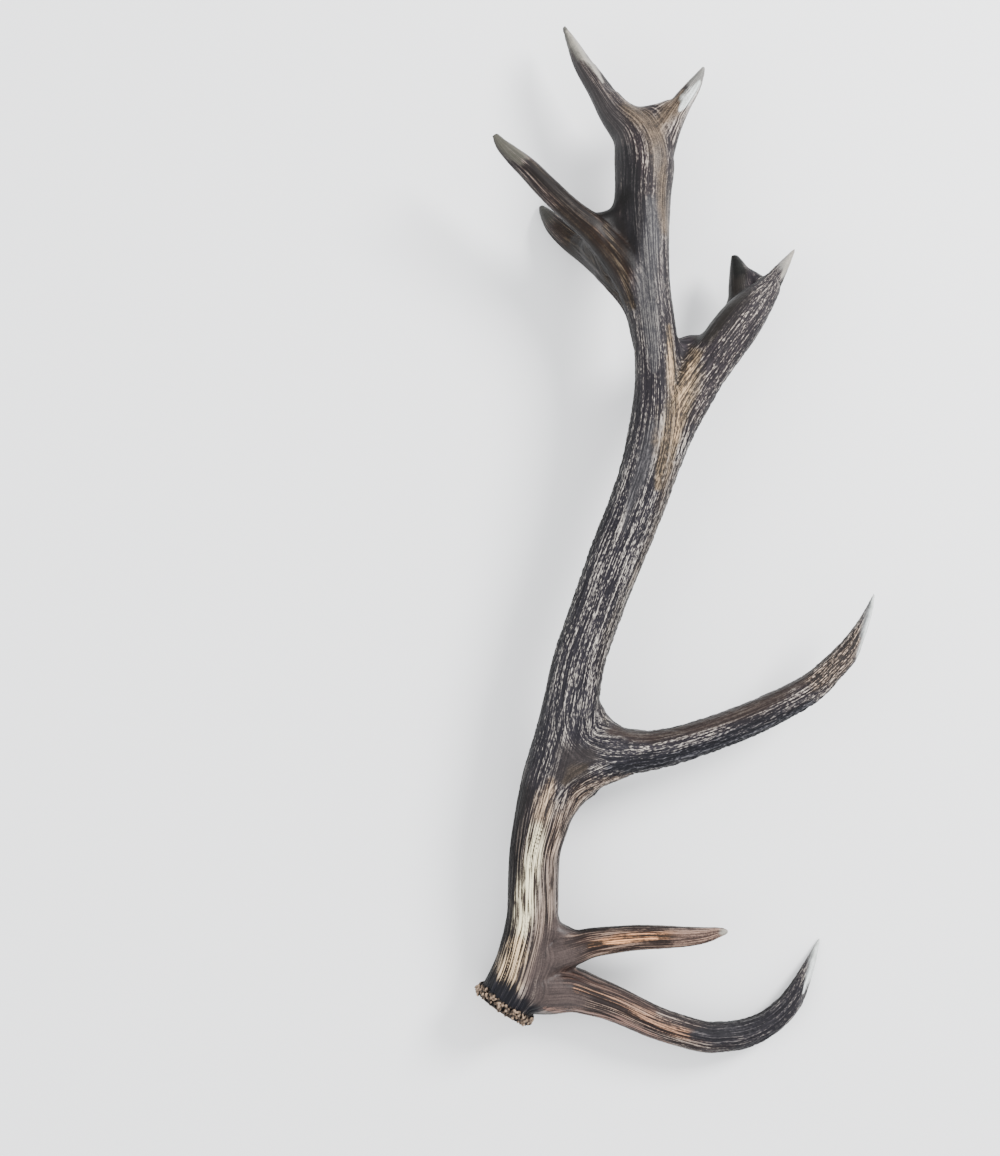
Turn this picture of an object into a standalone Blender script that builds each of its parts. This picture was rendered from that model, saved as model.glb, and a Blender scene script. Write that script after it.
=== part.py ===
"""The right antler of a mature red stag, lying on its inner side, as cast: burr, beam, brow, bez and
trez tines, and a crown of six points. It grew as one piece. Here it is parted at its main forks, so
each tine is a solid of its own that meets the beam across a fine gap.

+Y runs up the beam, +X to the side the tines grow on, +Z up from the floor. The origin lies on the
floor, under the middle of the antler's box.
"""
import math
import random

import bmesh
import bpy
from mathutils import Matrix, Vector

MM = 0.001

# Where the middle of the burr lies on the floor plan, in metres from the origin.
BURR_PLACE = Vector((-0.1597, -0.4421, 0.0))

# Each limb is a row of stations along its middle, in millimetres: right of the burr, up the beam
# from the burr, height over the floor, and the limb's radius there.
BEAM = [
    (-4, -6, 33, 27), (8, 17, 35, 27), (16, 41, 38, 25.5), (24, 78, 42, 24.5), (25, 113, 46, 24),
    (27, 148, 50, 24), (35, 183, 54, 27), (44, 219, 58, 28.5), (53, 253, 62, 27.5),
    (61, 291, 66, 26), (68, 329, 70, 24.5), (84, 376, 74, 24.5), (102, 425, 78, 25.5),
    (118, 465, 80, 26), (132, 506, 82, 26.5), (140, 545, 83, 26), (142, 600, 82, 22),
    (134, 677, 79, 20), (130, 725, 75, 22.5), (129, 768, 71, 25.5), (130, 802, 68, 27.5),
    (121, 828, 65, 23), (103, 848, 61, 16), (88, 872, 56, 12), (73, 896, 50, 9.5),
    (63, 917, 45, 6), (54, 936, 41, 2),
]
BROW = [
    (13, 15, 34, 26), (37, 11, 35, 24), (61, 11, 35, 22), (80, 5, 35, 19), (105, -4, 34, 17),
    (146, -23, 31, 15.5), (188, -36, 27, 15), (208, -37, 25, 14.5), (228, -35, 22, 14),
    (250, -27, 19, 12.5), (271, -11, 15, 11.5), (284, 7, 12, 9.5), (293, 24, 8, 7),
    (300, 40, 4, 4), (306, 54, 1, 1.5),
]
BEZ = [
    (22, 32, 38, 23), (43, 45, 41, 19), (68, 53, 44, 16), (80, 57, 45, 14), (98, 60, 47, 13),
    (123, 63, 50, 12), (147, 64, 53, 11), (171, 65, 56, 9.5), (189, 67, 58, 7.5), (201, 70, 60, 5),
    (210, 71, 61, 2.5),
]
TREZ = [
    (56, 226, 60, 28.5), (79, 234, 60, 28.5), (100, 239, 61, 25.5), (117, 242, 62, 22),
    (135, 243, 64, 19), (162, 249, 67, 17.5), (204, 263, 70, 16.5), (247, 281, 71, 15.5),
    (285, 301, 69, 14), (310, 323, 67, 12), (323, 337, 65, 11), (332, 352, 64, 8),
    (341, 370, 62, 5), (349, 392, 60, 1.5),
]
FRONT_CROWN = [
    (134, 500, 81, 23), (145, 529, 82, 23.5), (158, 560, 82, 24.5), (175, 588, 81, 23.5),
    (188, 606, 79, 22), (202, 625, 76, 22), (221, 650, 71, 21), (237, 669, 67, 16.5),
    (246, 679, 65, 12.5), (256, 693, 61, 8), (266, 708, 58, 4.5), (274, 720, 56, 1.5),
]
INNER_POINT = [
    (163, 589, 74, 19), (184, 612, 68, 16.5), (200, 627, 62, 14.5), (212, 645, 56, 13),
    (224, 669, 50, 13.5), (225, 687, 46, 11.5), (222, 704, 41, 7.5), (218, 716, 38, 2.5),
]
REAR_CROWN = [
    (132, 649, 79, 17), (121, 682, 80, 18), (104, 709, 82, 17), (85, 730, 85, 15),
    (61, 749, 88, 12), (37, 771, 91, 11), (20, 788, 93, 10), (6, 800, 95, 8.5), (-6, 811, 97, 6),
    (-12, 820, 98, 3),
]
LOWER_POINT = [
    (135, 626, 74, 16), (124, 666, 64, 15), (104, 694, 52, 15), (82, 717, 38, 14),
    (62, 734, 26, 12.5), (48, 748, 17, 10.5), (39, 760, 9, 7), (33, 770, 2, 3),
]
TOP_FRONT = [
    (135, 802, 68, 22), (152, 834, 68, 13.5), (165, 854, 70, 9.5), (175, 867, 72, 7),
    (181, 878, 74, 4), (186, 888, 75, 1.5),
]

# Webs of bone fill the corners where limbs part, in the same millimetres.
WEBS = [
    [(72, 240, 61, 16), (92, 266, 62, 12)],
    [(50, 216, 58, 14), (72, 202, 57, 12)],
    [(158, 600, 74, 16), (168, 621, 69, 14), (184, 628, 64, 11)],
    [(228, 666, 56, 14), (240, 688, 52, 12)],
    [(116, 728, 77, 16), (101, 741, 78, 13), (84, 741, 82, 9)],
    [(104, 700, 68, 17), (82, 722, 60, 13), (60, 740, 56, 9)],
    [(134, 820, 67, 20), (138, 842, 66, 13)],
]
LIMBS = [BEAM, BROW, BEZ, TREZ, FRONT_CROWN, INNER_POINT, REAR_CROWN, LOWER_POINT, TOP_FRONT]

# Near each fork the skin is drawn into a round saddle: its middle and its reach, in millimetres.
FORKS = [
    ((70, 34, 40), 22), ((92, 262, 62), 45), ((70, 198, 58), 40), ((176, 622, 70), 34),
    ((240, 686, 54), 20), ((100, 742, 80), 36), ((72, 728, 60), 42), ((138, 846, 67), 28),
]

# Long grooves run the length of every limb.
GROOVES = 13
GROOVE_DEPTH = 0.07
STEPS_PER_STATION = 6

# The burr is a disc square to the antler's foot, with two rows of bony pearls round its rim. Its
# seal, which parted from the skull, is flat. Offsets are along the axis, in millimetres.
BURR_AXIS = Vector((-0.545, -0.838, 0.02)).normalized()
BURR_HEIGHT = 31.6
PEARLS_PER_ROW = 22
PEARL_RADIUS = 3.8
PEARL_SPREAD = 0.6
PEARL_ROWS = [(2.3, 29.4), (6.4, 28.8)]
BURR_RINGS = [(-1, 28.5), (7.4, 28.5), (10.4, 25), (13, 8)]
SEAL_FACE = 10

# The antler is parted by blocks: the middle of each block's near face, in the same millimetres, the
# way it heads and its slope, in degrees, and its half width and length.
BROW_BLOCK = (64, -21.5, 60, 6, 0, 55, 280)
BEZ_BLOCK = (55.1, 63.4, 60, 6, 0, 30, 180)
TREZ_BLOCK = (102, 231, 60, 27, 0, 42, 320)
UPPER_BLOCK = (59, 285, 60, 78, 0, 400, 800)
FRONT_CROWN_BLOCK = (198, 607, 60, 65, 0, 36, 150)
REAR_CROWN_BLOCK = (91, 739, 60, 188, 0, 98, 140)
TOP_FRONT_BLOCK = (150, 840, 60, 60, 0, 25, 80)

BLOCK_HEIGHT = 200
GAP = 0.3

# The skin is grown on a fine grain, thinned to this many triangles, and shaded smooth across every
# edge that turns less than this many degrees.
GRAIN = 2.0 * MM
TRIANGLES = 7000
SMOOTH_UP_TO = 45


def place(x, y, height):
    """A point given in millimetres from the burr, as metres from the origin."""
    return BURR_PLACE + Vector((x, y, height)) * MM


def between(before, start, end, after, t):
    """A point on the smooth curve from start to end, which also heeds the stations either side."""
    bend = start * 2 + (end - before) * t
    bend += (before * 2 - start * 5 + end * 4 - after) * t * t
    bend += (start * 3 - before - end * 3 + after) * t * t * t
    return bend / 2


def course(stations):
    """The stations as a finer row of points on one smooth curve, each with its radius."""
    rows = [Vector((*place(x, y, height), radius * MM)) for x, y, height, radius in stations]
    rows = [rows[0] * 2 - rows[1]] + rows + [rows[-1] * 2 - rows[-2]]
    points = []
    for i in range(1, len(rows) - 2):
        for step in range(STEPS_PER_STATION):
            points.append(between(*rows[i - 1:i + 3], step / STEPS_PER_STATION))
    points.append(rows[-2])
    return points


def groove_section():
    """One turn of the limb's skin, of radius 1, with the grooves in it."""
    data = bpy.data.curves.new("groove_section", "CURVE")
    spline = data.splines.new("POLY")
    count = 2 * GROOVES
    spline.points.add(count - 1)
    for i, point in enumerate(spline.points):
        reach = 1 + GROOVE_DEPTH * (0.5 if i % 2 else -0.5)
        angle = 2 * math.pi * i / count
        point.co = (reach * math.cos(angle), reach * math.sin(angle), 0, 1)
    spline.use_cyclic_u = True
    section = bpy.data.objects.new("groove_section", data)
    section.hide_render = True
    cutters.objects.link(section)
    return section


def add_limb(antler, stations, section):
    """Sweeps the grooved section along a limb and adds the closed tube to the antler's mesh."""
    data = bpy.data.curves.new("limb", "CURVE")
    data.dimensions = "3D"
    data.bevel_mode = "OBJECT"
    data.bevel_object = section
    data.use_fill_caps = True
    points = course(stations)
    spline = data.splines.new("POLY")
    spline.points.add(len(points) - 1)
    for point, row in zip(spline.points, points):
        point.co = (row[0], row[1], row[2], 1)
        point.radius = max(row[3], 1 * MM)
    tube = bpy.data.objects.new("limb", data)
    cutters.objects.link(tube)
    mesh = bpy.data.meshes.new_from_object(tube.evaluated_get(bpy.context.evaluated_depsgraph_get()))
    antler.from_mesh(mesh)
    bpy.data.meshes.remove(mesh)
    bpy.data.objects.remove(tube)
    bpy.data.curves.remove(data)


def add_burr(antler):
    """Adds the burr's disc, the domed seal under it and the pearls round its rim."""
    centre = place(0, 0, BURR_HEIGHT)
    turned = BURR_AXIS.to_track_quat("Z", "Y").to_matrix().to_4x4()
    for (low, inner), (high, outer) in zip(BURR_RINGS, BURR_RINGS[1:]):
        middle = Matrix.Translation(centre + BURR_AXIS * (high + low) / 2 * MM)
        bmesh.ops.create_cone(
            antler, cap_ends=True, segments=40, radius1=inner * MM, radius2=outer * MM,
            depth=(high - low) * MM, matrix=middle @ turned,
        )
    side = turned.to_3x3() @ Vector((1, 0, 0))
    chance = random.Random(4)
    for row, (offset, reach) in enumerate(PEARL_ROWS):
        for i in range(PEARLS_PER_ROW):
            angle = 2 * math.pi * (i + 0.5 * row + chance.uniform(-0.15, 0.15)) / PEARLS_PER_ROW
            out = Matrix.Rotation(angle, 3, BURR_AXIS) @ side
            along = BURR_AXIS * (offset + chance.uniform(-0.5, 0.5))
            middle = centre + (out * (reach + chance.uniform(-0.6, 0.6)) + along) * MM
            size = (PEARL_RADIUS + chance.uniform(-PEARL_SPREAD, PEARL_SPREAD)) * MM
            bmesh.ops.create_icosphere(
                antler, subdivisions=2, radius=size, matrix=Matrix.Translation(middle)
            )


def evaluated_mesh(obj, name):
    """The object's mesh with its modifiers applied."""
    mesh = bpy.data.meshes.new_from_object(obj.evaluated_get(bpy.context.evaluated_depsgraph_get()))
    mesh.name = name
    return mesh


def grown_bone():
    """All the limbs and the burr grown together into one skin, rounded where they fork."""
    antler = bmesh.new()
    section = groove_section()
    for stations in LIMBS + WEBS:
        add_limb(antler, stations, section)
    add_burr(antler)
    bmesh.ops.remove_doubles(antler, verts=antler.verts, dist=0.01 * MM)
    mesh = bpy.data.meshes.new("grown_bone")
    antler.to_mesh(mesh)
    antler.free()
    bone = bpy.data.objects.new("grown_bone", mesh)
    bone.hide_render = True
    cutters.objects.link(bone)

    skin = bone.modifiers.new("one_skin", "REMESH")
    skin.mode = "VOXEL"
    skin.voxel_size = GRAIN
    bone.data = evaluated_mesh(bone, "one_skin")
    bone.modifiers.clear()

    saddles = bone.vertex_groups.new(name="saddles")
    forks = [(place(*middle), reach * MM) for middle, reach in FORKS]
    for vertex in bone.data.vertices:
        nearness = max(1 - (vertex.co - middle).length / reach for middle, reach in forks)
        if nearness > 0:
            saddles.add([vertex.index], min(1, 2 * nearness), "REPLACE")
    rounding = bone.modifiers.new("rounded_forks", "SMOOTH")
    rounding.factor = 0.5
    rounding.iterations = 40
    rounding.vertex_group = "saddles"
    easing = bone.modifiers.new("eased_skin", "SMOOTH")
    easing.factor = 0.5
    easing.iterations = 2
    coarse = bone.modifiers.new("facets", "DECIMATE")
    coarse.ratio = TRIANGLES / (2 * len(bone.data.polygons))
    mesh = evaluated_mesh(bone, "grown_bone")
    for vertex in mesh.vertices:
        vertex.co.z = max(vertex.co.z, 0)
    mesh.shade_smooth()
    mesh.set_sharp_from_angle(angle=math.radians(SMOOTH_UP_TO))
    bpy.data.objects.remove(bone)
    return mesh


def block(name, plan, grow=0):
    """A block that parts the antler, as tall as the antler is thick, grown all round by grow."""
    x, y, height, heading, slope, half_width, length = plan
    turned = Matrix.Rotation(math.radians(heading), 4, "Z")
    turned = turned @ Matrix.Rotation(math.radians(-slope), 4, "Y")
    middle = Matrix.Translation(Vector((length / 2, 0, 0)) * MM)
    size = Vector((length + 2 * grow, 2 * (half_width + grow), BLOCK_HEIGHT + 2 * grow)) * MM
    shape = bmesh.new()
    bmesh.ops.create_cube(
        shape, size=1,
        matrix=Matrix.Translation(place(x, y, height)) @ turned @ middle @ Matrix.Diagonal(size).to_4x4(),
    )
    mesh = bpy.data.meshes.new(name)
    shape.to_mesh(mesh)
    shape.free()
    made = bpy.data.objects.new(name, mesh)
    made.hide_render = True
    made.display_type = "WIRE"
    cutters.objects.link(made)
    return made


def bone_material(name, colour, roughness):
    """Weathered antler bone of one overall colour."""
    made = bpy.data.materials.new(name)
    made.use_nodes = True
    shader = made.node_tree.nodes["Principled BSDF"]
    shader.inputs["Base Color"].default_value = (*colour, 1)
    shader.inputs["Roughness"].default_value = roughness
    shader.inputs["Metallic"].default_value = 0
    made.diffuse_color = (*colour, 1)
    return made


def part(name, colour, roughness, keep=None, take=()):
    """One length of the antler: what lies in the block keep, less what lies in the blocks take."""
    made = bpy.data.objects.new(name, bone_mesh.copy())
    made.data.name = name
    made.data.materials.append(bone_material(name, colour, roughness))
    cuts = []
    for i, plan in enumerate(take):
        cuts.append(("DIFFERENCE", block(f"{name}_cut_{i + 1}", plan, GAP)))
    if keep:
        cuts.append(("INTERSECT", block(name + "_block", keep)))
    for operation, cutter in cuts:
        cut = made.modifiers.new(cutter.name, "BOOLEAN")
        cut.operation = operation
        cut.solver = "EXACT"
        cut.object = cutter
    parts.objects.link(made)


for old in list(bpy.data.objects):
    bpy.data.objects.remove(old)
parts = bpy.data.collections.new("deer_antler")
cutters = bpy.data.collections.new("cutters")
bpy.context.scene.collection.children.link(parts)
bpy.context.scene.collection.children.link(cutters)
bone_mesh = grown_bone()

seal_middle = BURR_AXIS * (SEAL_FACE + GAP)
seal_block = (
    seal_middle.x, seal_middle.y, BURR_HEIGHT + seal_middle.z,
    math.degrees(math.atan2(BURR_AXIS.y, BURR_AXIS.x)), math.degrees(math.asin(BURR_AXIS.z)), 60, 40,
)
part(
    "lower_beam", (0.20, 0.16, 0.12), 0.55,
    take=(seal_block, BROW_BLOCK, BEZ_BLOCK, TREZ_BLOCK, UPPER_BLOCK),
)
part("brow_tine", (0.19, 0.14, 0.10), 0.5, keep=BROW_BLOCK)
part("bez_tine", (0.20, 0.14, 0.09), 0.5, keep=BEZ_BLOCK)
part("trez_tine", (0.17, 0.14, 0.11), 0.5, keep=TREZ_BLOCK)
part(
    "upper_beam", (0.15, 0.13, 0.11), 0.55, keep=UPPER_BLOCK,
    take=(TREZ_BLOCK, FRONT_CROWN_BLOCK, REAR_CROWN_BLOCK, TOP_FRONT_BLOCK),
)
part("front_crown_tine", (0.16, 0.14, 0.12), 0.45, keep=FRONT_CROWN_BLOCK)
part("rear_crown_tine", (0.12, 0.10, 0.08), 0.5, keep=REAR_CROWN_BLOCK)
part("top_front_tine", (0.20, 0.18, 0.15), 0.45, keep=TOP_FRONT_BLOCK)
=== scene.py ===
"""The looks of a red stag's right antler, lying on a pale floor: one grown skin of ridged and beaded
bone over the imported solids, a beaded burr at its foot, and tips rubbed to ivory.
"""

import itertools
import math
import random

import bmesh
import bpy
import numpy as np
from mathutils import Matrix, Vector


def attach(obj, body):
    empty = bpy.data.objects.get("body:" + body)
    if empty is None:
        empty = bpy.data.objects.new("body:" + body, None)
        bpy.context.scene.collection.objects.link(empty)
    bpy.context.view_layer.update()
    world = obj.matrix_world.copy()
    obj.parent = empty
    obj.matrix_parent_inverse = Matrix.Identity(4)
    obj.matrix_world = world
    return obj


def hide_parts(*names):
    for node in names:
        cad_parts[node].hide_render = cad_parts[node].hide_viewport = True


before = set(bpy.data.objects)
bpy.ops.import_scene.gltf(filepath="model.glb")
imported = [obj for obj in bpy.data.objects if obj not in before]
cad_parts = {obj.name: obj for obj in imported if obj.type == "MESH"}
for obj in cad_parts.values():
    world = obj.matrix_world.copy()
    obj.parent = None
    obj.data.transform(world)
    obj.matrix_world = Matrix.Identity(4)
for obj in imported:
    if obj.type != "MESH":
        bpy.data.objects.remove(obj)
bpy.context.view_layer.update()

# The camera looks straight down at the antler, as the photo does. Places on the antler are given in
# millimetres from the middle of its burr: to the right, up the beam, and over the floor.
MM = 0.001
BURR_PLACE = Vector((-0.1597, -0.4421, 0.0))
CAMERA_HEIGHT = 2.0
VIEW_MIDDLE = (-6.74, 406.5)
SENSOR = 36
# What the picture's full height takes in, in metres, at the middle of the beam's height.
FRAME_HEIGHT = 1.0982
BEAM_HEIGHT = 0.06


def place(x, y, height):
    """A point given in millimetres from the burr, as metres from the origin."""
    return BURR_PLACE + Vector((x, y, height)) * MM


camera_data = bpy.data.cameras.new("camera")
camera_data.sensor_fit = "VERTICAL"
camera_data.sensor_height = SENSOR
camera_data.lens = SENSOR * (CAMERA_HEIGHT - BEAM_HEIGHT) / FRAME_HEIGHT
camera = bpy.data.objects.new("camera", camera_data)
camera.location = place(*VIEW_MIDDLE, CAMERA_HEIGHT / MM)
bpy.context.scene.collection.objects.link(camera)
bpy.context.scene.camera = camera

# The floor is a plain, pale, matt sheet, far larger than the antler that lies on it. It is no part of
# the antler.
FLOOR_SIZE = 14.0
FLOOR_COLOUR = (0.88, 0.88, 0.885)
FLOOR_ROUGHNESS = 0.9
FLOOR_GLOSS = 0.2


def new_material(name):
    """A material and its Principled shader."""
    made = bpy.data.materials.new(name)
    made.use_nodes = True
    return made, made.node_tree.nodes["Principled BSDF"]


floor_mesh = bmesh.new()
bmesh.ops.create_grid(floor_mesh, x_segments=1, y_segments=1, size=FLOOR_SIZE / 2)
floor = bpy.data.objects.new("floor", bpy.data.meshes.new("floor"))
floor_mesh.to_mesh(floor.data)
floor_mesh.free()
floor_finish, shader = new_material("pale_floor")
shader.inputs["Base Color"].default_value = (*FLOOR_COLOUR, 1)
shader.inputs["Roughness"].default_value = FLOOR_ROUGHNESS
shader.inputs["Specular IOR Level"].default_value = FLOOR_GLOSS
floor.data.materials.append(floor_finish)
bpy.context.scene.collection.objects.link(floor)

# The light is soft daylight. A large window's comes from the right and the crown's side, a weaker one
# fills in from the other side, and the pale room gives the rest. Each: name, place, size and power.
LIGHTS = [
    ("window_light", (1.9, 1.3, 1.9), 1.1, 175),
    ("fill_light", (-2.2, -0.6, 2.2), 2.4, 42),
]
ROOM_COLOUR = (0.96, 0.98, 1.0)
ROOM_BRIGHTNESS = 1.9
for name, where, size, power in LIGHTS:
    lamp_data = bpy.data.lights.new(name, "AREA")
    lamp_data.shape = "DISK"
    lamp_data.size = size
    lamp_data.energy = power
    lamp = bpy.data.objects.new(name, lamp_data)
    lamp.location = where
    lamp.rotation_euler = (-Vector(where)).to_track_quat("-Z", "Y").to_euler()
    bpy.context.scene.collection.objects.link(lamp)
world = bpy.data.worlds.new("pale_room")
world.use_nodes = True
world.node_tree.nodes["Background"].inputs["Color"].default_value = (*ROOM_COLOUR, 1)
world.node_tree.nodes["Background"].inputs["Strength"].default_value = ROOM_BRIGHTNESS
bpy.context.scene.world = world

# The grown bone. Beam and tines are one piece, which grew in one summer, hardened and was cast. Each
# limb is a tube through its stations, which give its place and its radius in millimetres, and all the
# limbs are joined into one skin.
LIMBS = {
    "beam": [
        (-4, -6, 33, 27), (8, 17, 35, 27), (16, 41, 38, 25.5), (24, 78, 42, 24.5), (25, 113, 46, 24),
        (27, 148, 50, 24), (35, 183, 54, 27), (44, 219, 58, 28.5), (53, 253, 62, 27.5),
        (61, 291, 66, 26), (68, 329, 70, 24.5), (84, 376, 74, 24.5), (102, 425, 78, 25.5),
        (118, 465, 80, 26), (132, 506, 82, 26.5), (140, 545, 83, 26), (142, 600, 82, 22),
        (134, 677, 79, 20), (130, 725, 75, 23), (128.5, 768, 71, 26.5), (129.5, 802, 68, 28.3),
        (121, 828, 65, 23), (103, 848, 61, 16), (88, 872, 56, 12), (73, 896, 50, 9.5),
        (63, 917, 45, 6), (54, 936, 41, 2),
    ],
    "brow": [
        (13, 15, 34, 26), (37, 11, 35, 24), (61, 11, 35, 22), (80, 5, 35, 19), (105, -4, 34, 17),
        (146, -23, 31, 15.5), (188, -36, 27, 15), (208, -37, 25, 14.5), (228, -35, 22, 14),
        (250, -27, 19, 12.5), (271, -11, 15, 11.5), (284, 7, 12, 9.5), (293, 24, 8, 7),
        (300, 40, 4, 4), (306, 54, 1, 1.5),
    ],
    "bez": [
        (22, 32, 38, 23), (43, 45, 41, 19), (68, 53, 44, 16), (80, 57, 45, 14), (98, 60, 47, 13),
        (123, 63, 50, 12), (147, 64, 53, 11), (171, 65, 56, 9.5), (189, 67, 58, 7.5), (201, 70, 60, 5),
        (210, 71, 61, 2.5),
    ],
    "trez": [
        (56, 226, 60, 28.5), (79, 234, 60, 28.5), (100, 239, 61, 25.5), (117, 242, 62, 22),
        (135, 243, 64, 19), (162, 249, 67, 17.5), (204, 263, 70, 16.5), (247, 281, 71, 15.5),
        (285, 301, 69, 14), (310, 323, 67, 12), (323, 337, 65, 11), (332, 352, 64, 8),
        (341, 370, 62, 5), (349, 392, 60, 1.5),
    ],
    "front_crown": [
        (134, 500, 81, 23), (145, 529, 82, 23.5), (158, 560, 82, 24.5), (175, 588, 81, 23.5),
        (188, 606, 79, 22), (202, 625, 76, 22), (221, 650, 71, 21), (237, 669, 67, 16.5),
        (246, 679, 65, 12.5), (256, 693, 61, 8), (266, 708, 58, 4.5), (274, 720, 56, 1.5),
    ],
    "inner_point": [
        (163, 589, 74, 19), (184, 612, 68, 16.5), (200, 627, 62, 14.5), (212, 645, 56, 13),
        (224, 669, 50, 14), (224, 687, 46, 12.5), (221.5, 704, 41, 8.5), (217.5, 717, 38, 3),
    ],
    "rear_crown": [
        (132, 649, 79, 17), (121, 682, 80, 18), (104, 709, 82, 17), (85, 730, 85, 15),
        (61, 749, 88, 12), (37, 771, 91, 11), (20, 788, 93, 10), (6, 800, 95, 8.5), (-6, 811, 97, 6),
        (-12, 820, 98, 3),
    ],
    "lower_point": [
        (135, 626, 74, 16), (124, 666, 64, 15), (104, 694, 52, 15), (82, 717, 38, 14),
        (62, 734, 26, 12.5), (48, 748, 17, 10.5), (39, 760, 9, 7), (33, 770, 2, 3),
    ],
    "top_front": [
        (135, 802, 68, 22), (152, 834, 68, 13.5), (164, 854, 70, 10), (174, 868, 72, 8),
        (181, 879, 74, 5), (186, 889, 75, 1.8),
    ],
}
# Webs of bone fill the forks. They are given as the limbs are.
WEBS = [
    [(38, 84, 48, 11), (43, 70, 46, 11), (62, 60, 45, 10.5)],
    [(72, 240, 61, 16), (92, 266, 62, 12)],
    [(80, 286, 63, 11.5), (83, 273, 62, 12.5), (94, 261, 62, 12.5), (110, 252, 63, 12)],
    [(82, 213, 58, 12), (65, 202, 58, 12.5), (55, 189, 57, 12.5), (44, 171, 54, 12)],
    [(158, 600, 74, 16), (168, 621, 69, 14), (184, 628, 64, 11)],
    [(217, 704, 41, 6), (226, 697, 45, 8.5), (236, 690, 51, 8.5), (244, 684, 57, 8)],
    [(116, 728, 77, 16), (101, 741, 78, 13), (84, 741, 82, 9)],
    [(104, 742, 79, 11), (111, 757, 77, 12), (114, 778, 74, 12)],
    [(104, 700, 68, 17), (84, 718, 54, 13), (68, 731, 38, 9)],
    [(98, 712, 74, 15), (91, 715, 58, 15), (84, 716, 46, 13)],
    [(86, 727, 79, 13), (80, 722, 56, 12)],
    [(112, 690, 66, 15), (102, 696, 58, 14), (93, 703, 50, 14)],
    [(134, 820, 67, 20), (138, 842, 66, 13)],
    [(124, 838, 66, 14), (136, 843, 67, 12), (147, 846, 68, 11), (157, 853, 69, 9)],
]
# The middle of each fork, and how far from it the skin is rounded.
FORKS = [
    ((70, 34, 40), 22), ((92, 262, 62), 45), ((70, 198, 58), 40), ((176, 622, 70), 34),
    ((100, 742, 80), 36), ((82, 722, 60), 42), ((138, 846, 67), 28),
]
# Each tube's sides, the step between its rings and its least radius. Then the size of the skin's cells,
# and how many times the forks and the whole skin are smoothed.
SIDES = 32
RING_STEP = 5.0
LEAST_RADIUS = 1.0
SKIN_CELL = 2.0 * MM
FORK_PASSES = 40
SKIN_PASSES = 4


def course(stations, step):
    """The stations as a row of points about step apart on one smooth curve, in millimetres."""
    rows = np.array(stations, float)
    ends = np.vstack([2 * rows[0] - rows[1], rows, 2 * rows[-1] - rows[-2]])
    points = []
    for before, start, end, after in zip(ends, ends[1:], ends[2:], ends[3:]):
        steps = max(1, round(np.linalg.norm(end[:3] - start[:3]) / step))
        for t in np.arange(steps) / steps:
            bend = 2 * start + (end - before) * t + (2 * before - 5 * start + 4 * end - after) * t * t
            points.append((bend + (3 * start - before - 3 * end + after) * t ** 3) / 2)
    return np.array(points + [rows[-1]])


def tube(stations):
    """A closed tube along a limb."""
    made = bmesh.new()
    rows = course(stations, RING_STEP)
    turned = Matrix.Identity(3)
    heading = Vector((0, 0, 1))
    rings = []
    for row, ahead in zip(rows, np.gradient(rows[:, :3], axis=0)):
        turned = heading.rotation_difference(Vector(ahead)).to_matrix() @ turned
        heading = Vector(ahead)
        ring = bmesh.ops.create_circle(
            made, segments=SIDES, radius=max(row[3], LEAST_RADIUS) * MM,
            matrix=Matrix.Translation(place(*row[:3])) @ turned.to_4x4(),
        )["verts"]
        rings.append(list(dict.fromkeys(edge for vert in ring for edge in vert.link_edges)))
    for ring, following in zip(rings, rings[1:]):
        bmesh.ops.bridge_loops(made, edges=ring + following)
    for end in (rings[0], rings[-1]):
        bmesh.ops.edgeloop_fill(made, edges=end)
    bmesh.ops.recalc_face_normals(made, faces=made.faces)
    return made


def joined(parts, name):
    """The parts as one object."""
    together = bmesh.new()
    for part in parts:
        mesh = bpy.data.meshes.new(name)
        part.to_mesh(mesh)
        part.free()
        together.from_mesh(mesh)
        bpy.data.meshes.remove(mesh)
    obj = bpy.data.objects.new(name, bpy.data.meshes.new(name))
    together.to_mesh(obj.data)
    together.free()
    bpy.context.scene.collection.objects.link(obj)
    return obj


def settle(obj):
    """Applies the object's modifiers to its mesh."""
    evaluated = obj.evaluated_get(bpy.context.evaluated_depsgraph_get())
    obj.data = bpy.data.meshes.new_from_object(evaluated)
    obj.modifiers.clear()


bone = joined([tube(stations) for stations in list(LIMBS.values()) + WEBS], "bone")
skin = bone.modifiers.new("one_skin", "REMESH")
skin.mode = "VOXEL"
skin.voxel_size = SKIN_CELL
settle(bone)


def spots_of(obj):
    """The places of the object's spots, in millimetres from the burr."""
    flat = np.empty(len(obj.data.vertices) * 3, np.float32)
    obj.data.vertices.foreach_get("co", flat)
    return (flat.reshape(-1, 3) - np.array(BURR_PLACE)) / MM


# The forks are rounded most, in full up to half of their reach, and all the skin is eased a little.
saddles = bone.vertex_groups.new(name="saddles")
spots = spots_of(bone)
nearness = np.zeros(len(spots))
for middle, reach in FORKS:
    nearness = np.maximum(nearness, 1 - np.linalg.norm(spots - middle, axis=1) / reach)
for index in np.nonzero(nearness)[0]:
    saddles.add([int(index)], min(1, 2 * nearness[index]), "REPLACE")
rounding = bone.modifiers.new("rounded_forks", "SMOOTH")
rounding.factor = 0.5
rounding.iterations = FORK_PASSES
rounding.vertex_group = "saddles"
easing = bone.modifiers.new("eased_skin", "SMOOTH")
easing.factor = 0.5
easing.iterations = SKIN_PASSES
fine = bone.modifiers.new("fine_skin", "SUBSURF")
fine.levels = 1
fine.render_levels = 1
settle(bone)

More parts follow.
